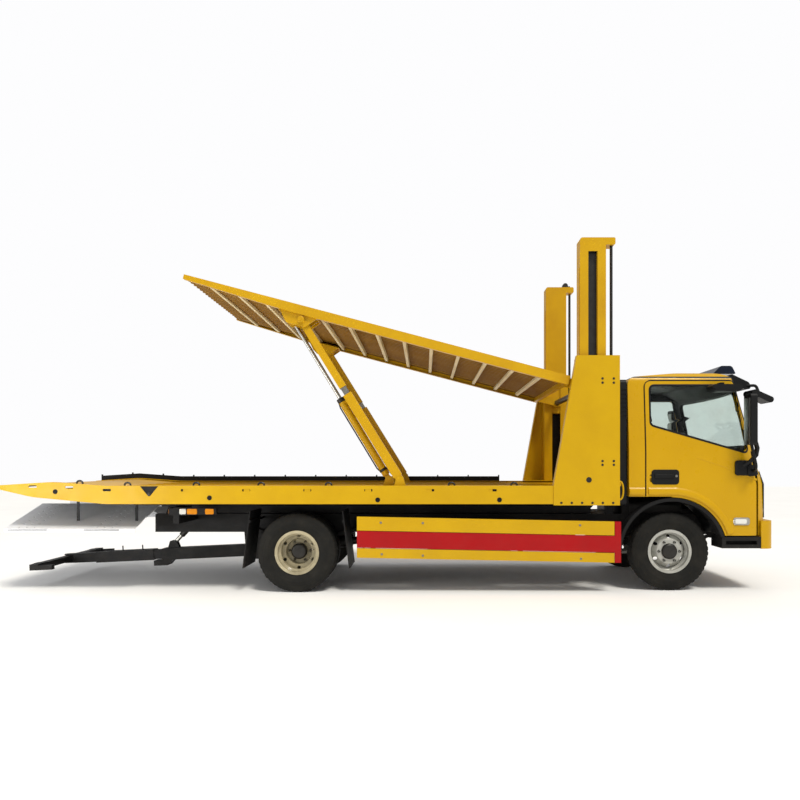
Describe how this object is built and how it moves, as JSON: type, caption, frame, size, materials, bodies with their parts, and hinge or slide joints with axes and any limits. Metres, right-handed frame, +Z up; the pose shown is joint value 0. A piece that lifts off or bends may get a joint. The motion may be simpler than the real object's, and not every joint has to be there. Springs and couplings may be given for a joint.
{
  "type": "flatbed tow truck",
  "caption": "Yellow two-level flatbed tow truck: sliding and tilting bed, upper deck on two lifting posts and struts, wheel lift at the tail.",
  "frame": {"origin": "on the ground, midway between the bumper's face and the tip of the bed, on the middle plane", "axes": "+X forwards, +Y to the truck's left, +Z up"},
  "size_m": [7.94, 2.43, 3.668],
  "materials": {
    "yellow_body": "gloss",
    "red_paint": "gloss",
    "black_steel": "satin",
    "post_paint": "satin",
    "black_plastic": "matte",
    "mud_rubber": "matte",
    "tyre_rubber": "matte",
    "front_wheel_paint": "satin",
    "rear_wheel_paint": "satin",
    "clear_glass": "gloss",
    "lamp_plastic": "gloss",
    "bright_steel": "polished",
    "ramp_metal": "satin"
  },
  "bodies": {
    "chassis": {"chassis_frame": "black_steel", "cab_mounts": "black_steel", "leaf_springs": "black_steel", "front_axle": "black_steel", "rear_axle": "black_steel", "driveline": "black_steel", "tank_and_battery": "black_steel", "side_panels": "yellow_body", "side_stripes": "red_paint", "mudguards": "mud_rubber", "tail_lamps": "lamp_plastic", "cab_shell": "yellow_body", "windscreen": "clear_glass", "arch_liners": "black_plastic", "bumper": "black_plastic", "grille": "black_plastic", "headlamps": "lamp_plastic", "roof_fittings": "black_plastic", "cab_interior": "black_plastic", "steering_wheel": "black_plastic", "air_intake": "black_plastic"},
    "door_right": {"door_right": "yellow_body", "door_glass_right": "clear_glass", "mirror_right": "black_plastic"},
    "door_left": {"door_left": "yellow_body", "door_glass_left": "clear_glass", "mirror_left": "black_plastic"},
    "knuckle_left": {"knuckle_left": "black_steel"},
    "knuckle_right": {"knuckle_right": "black_steel"},
    "front_wheel_left": {"front_tyre_left": "tyre_rubber", "front_rim_left": "front_wheel_paint"},
    "front_wheel_right": {"front_tyre_right": "tyre_rubber", "front_rim_right": "front_wheel_paint"},
    "rear_wheels_left": {"rear_tyres_left": "tyre_rubber", "rear_rims_left": "rear_wheel_paint"},
    "rear_wheels_right": {"rear_tyres_right": "tyre_rubber", "rear_rims_right": "rear_wheel_paint"},
    "subframe": {"subframe": "black_steel"},
    "bed": {"bed": "yellow_body", "kerb_rail": "black_steel", "tower_shrouds": "yellow_body", "mast_guides": "black_steel", "ramps": "ramp_metal"},
    "lift_frame": {"lift_posts": "post_paint", "lift_rods": "bright_steel"},
    "upper_deck": {"upper_deck": "yellow_body", "deck_arms": "yellow_body"},
    "lift_boom": {"lift_boom": "black_steel"},
    "lift_nose": {"lift_nose": "black_steel"},
    "lift_crossbar": {"lift_crossbar": "black_steel"},
    "lift_cylinder": {"lift_cylinder": "black_steel"},
    "lift_piston": {"lift_piston": "bright_steel"},
    "strut_tube_left": {"strut_tube_left": "yellow_body"},
    "strut_bar_left": {"strut_bar_left": "yellow_body"},
    "cylinder_left": {"cylinder_left": "bright_steel"},
    "piston_rod_left": {"piston_rod_left": "bright_steel"},
    "strut_tube_right": {"strut_tube_right": "yellow_body"},
    "strut_bar_right": {"strut_bar_right": "yellow_body"},
    "cylinder_right": {"cylinder_right": "bright_steel"},
    "piston_rod_right": {"piston_rod_right": "bright_steel"}
  },
  "joints": [
    {"name": "door_right", "type": "hinge", "parent": "chassis", "child": "door_right", "pos_m": [3.77, -0.996, 1.2], "axis": [0, 0, 1], "range_deg": [0, 70]},
    {"name": "door_left", "type": "hinge", "parent": "chassis", "child": "door_left", "pos_m": [3.77, 0.996, 1.2], "axis": [0, 0, -1], "range_deg": [0, 70]},
    {"name": "steer_left", "type": "hinge", "parent": "chassis", "child": "knuckle_left", "pos_m": [2.885, 0.7, 0.4025], "axis": [0, 0, 1], "range_deg": [-32, 32]},
    {"name": "front_spin_left", "type": "hinge", "parent": "knuckle_left", "child": "front_wheel_left", "pos_m": [2.885, 0.83, 0.4025], "axis": [0, 1, 0], "continuous": true},
    {"name": "steer_right", "type": "hinge", "parent": "chassis", "child": "knuckle_right", "pos_m": [2.885, -0.7, 0.4025], "axis": [0, 0, 1], "range_deg": [-32, 32]},
    {"name": "front_spin_right", "type": "hinge", "parent": "knuckle_right", "child": "front_wheel_right", "pos_m": [2.885, -0.83, 0.4025], "axis": [0, 1, 0], "continuous": true},
    {"name": "rear_spin_left", "type": "hinge", "parent": "chassis", "child": "rear_wheels_left", "pos_m": [-0.955, 0.822, 0.4025], "axis": [0, 1, 0], "continuous": true},
    {"name": "rear_spin_right", "type": "hinge", "parent": "chassis", "child": "rear_wheels_right", "pos_m": [-0.955, -0.822, 0.4025], "axis": [0, 1, 0], "continuous": true},
    {"name": "bed_tilt", "type": "hinge", "parent": "chassis", "child": "subframe", "pos_m": [-2.44, 0, 0.7], "axis": [0, -1, 0], "range_deg": [0, 9]},
    {"name": "bed_slide", "type": "slide", "parent": "subframe", "child": "bed", "axis": [-1, 0, 0], "range_m": [0, 2.3]},
    {"name": "deck_lift", "type": "slide", "parent": "bed", "child": "lift_frame", "axis": [0, 0, 1], "range_m": [-0.76, 0]},
    {"name": "deck_tilt", "type": "hinge", "parent": "lift_frame", "child": "upper_deck", "pos_m": [2.05, 0, 2.097], "axis": [0, 1, 0], "range_deg": [-14.8, 0.1]},
    {"name": "strut_swing_left", "type": "hinge", "parent": "bed", "child": "strut_tube_left", "pos_m": [0.095, 0.96, 1.15], "axis": [0, 1, 0], "range_deg": [-53.55, 0.1]},
    {"name": "strut_extend_left", "type": "slide", "parent": "strut_tube_left", "child": "strut_bar_left", "axis": [-0.5252, 0, 0.851], "range_m": [-0.8304, 0.002]},
    {"name": "cylinder_swing_left", "type": "hinge", "parent": "bed", "child": "cylinder_left", "pos_m": [-0.023, 0.84, 1.15], "axis": [0, 1, 0], "range_deg": [-54, 0.1]},
    {"name": "cylinder_extend_left", "type": "slide", "parent": "cylinder_left", "child": "piston_rod_left", "axis": [-0.5189, 0, 0.8548], "range_m": [-0.852, 0.002]},
    {"name": "strut_swing_right", "type": "hinge", "parent": "bed", "child": "strut_tube_right", "pos_m": [0.095, -0.96, 1.15], "axis": [0, 1, 0], "range_deg": [-53.55, 0.1]},
    {"name": "strut_extend_right", "type": "slide", "parent": "strut_tube_right", "child": "strut_bar_right", "axis": [-0.5252, 0, 0.851], "range_m": [-0.8304, 0.002]},
    {"name": "cylinder_swing_right", "type": "hinge", "parent": "bed", "child": "cylinder_right", "pos_m": [-0.023, -0.84, 1.15], "axis": [0, 1, 0], "range_deg": [-54, 0.1]},
    {"name": "cylinder_extend_right", "type": "slide", "parent": "cylinder_right", "child": "piston_rod_right", "axis": [-0.5189, 0, 0.8548], "range_m": [-0.852, 0.002]},
    {"name": "boom_lift", "type": "hinge", "parent": "chassis", "child": "lift_boom", "pos_m": [-1.6, 0, 0.318], "axis": [0, 1, 0], "range_deg": [0, 6]},
    {"name": "boom_extend", "type": "slide", "parent": "lift_boom", "child": "lift_nose", "axis": [-0.9989, 0, -0.0471], "range_m": [0, 0.35]},
    {"name": "crossbar_swing", "type": "hinge", "parent": "lift_nose", "child": "lift_crossbar", "pos_m": [-3.78257, 0, 0.21507], "axis": [-0.0471, 0, 0.9989], "range_deg": [-20, 20]},
    {"name": "lift_cylinder_swing", "type": "hinge", "parent": "chassis", "child": "lift_cylinder", "pos_m": [-2.33, 0, 0.64], "axis": [0, 1, 0], "range_deg": [-0.13, 12.91]},
    {"name": "lift_piston_slide", "type": "slide", "parent": "lift_cylinder", "child": "lift_piston", "axis": [-0.679, 0, -0.7342], "range_m": [-0.0776, 0.002]}
  ],
  "couplings": [
    {"joint": "steer_right", "follows": "steer_left", "ratio": 1},
    {"joint": "bed_tilt", "follows": "bed_slide", "rad_per_m": 0.068289},
    {"joint": "deck_tilt", "follows": "deck_lift", "rad_per_m": 0.3385},
    {"joint": "strut_swing_left", "follows": "deck_lift", "rad_per_m": 1.2275},
    {"joint": "strut_extend_left", "follows": "deck_lift", "ratio": 1.09},
    {"joint": "cylinder_swing_left", "follows": "deck_lift", "rad_per_m": 1.2379},
    {"joint": "cylinder_extend_left", "follows": "deck_lift", "ratio": 1.1185},
    {"joint": "strut_swing_right", "follows": "deck_lift", "rad_per_m": 1.2275},
    {"joint": "strut_extend_right", "follows": "deck_lift", "ratio": 1.09},
    {"joint": "cylinder_swing_right", "follows": "deck_lift", "rad_per_m": 1.2379},
    {"joint": "cylinder_extend_right", "follows": "deck_lift", "ratio": 1.1185},
    {"joint": "lift_cylinder_swing", "follows": "boom_lift", "ratio": 2.1094},
    {"joint": "lift_piston_slide", "follows": "boom_lift", "m_per_rad": -0.72228}
  ]
}
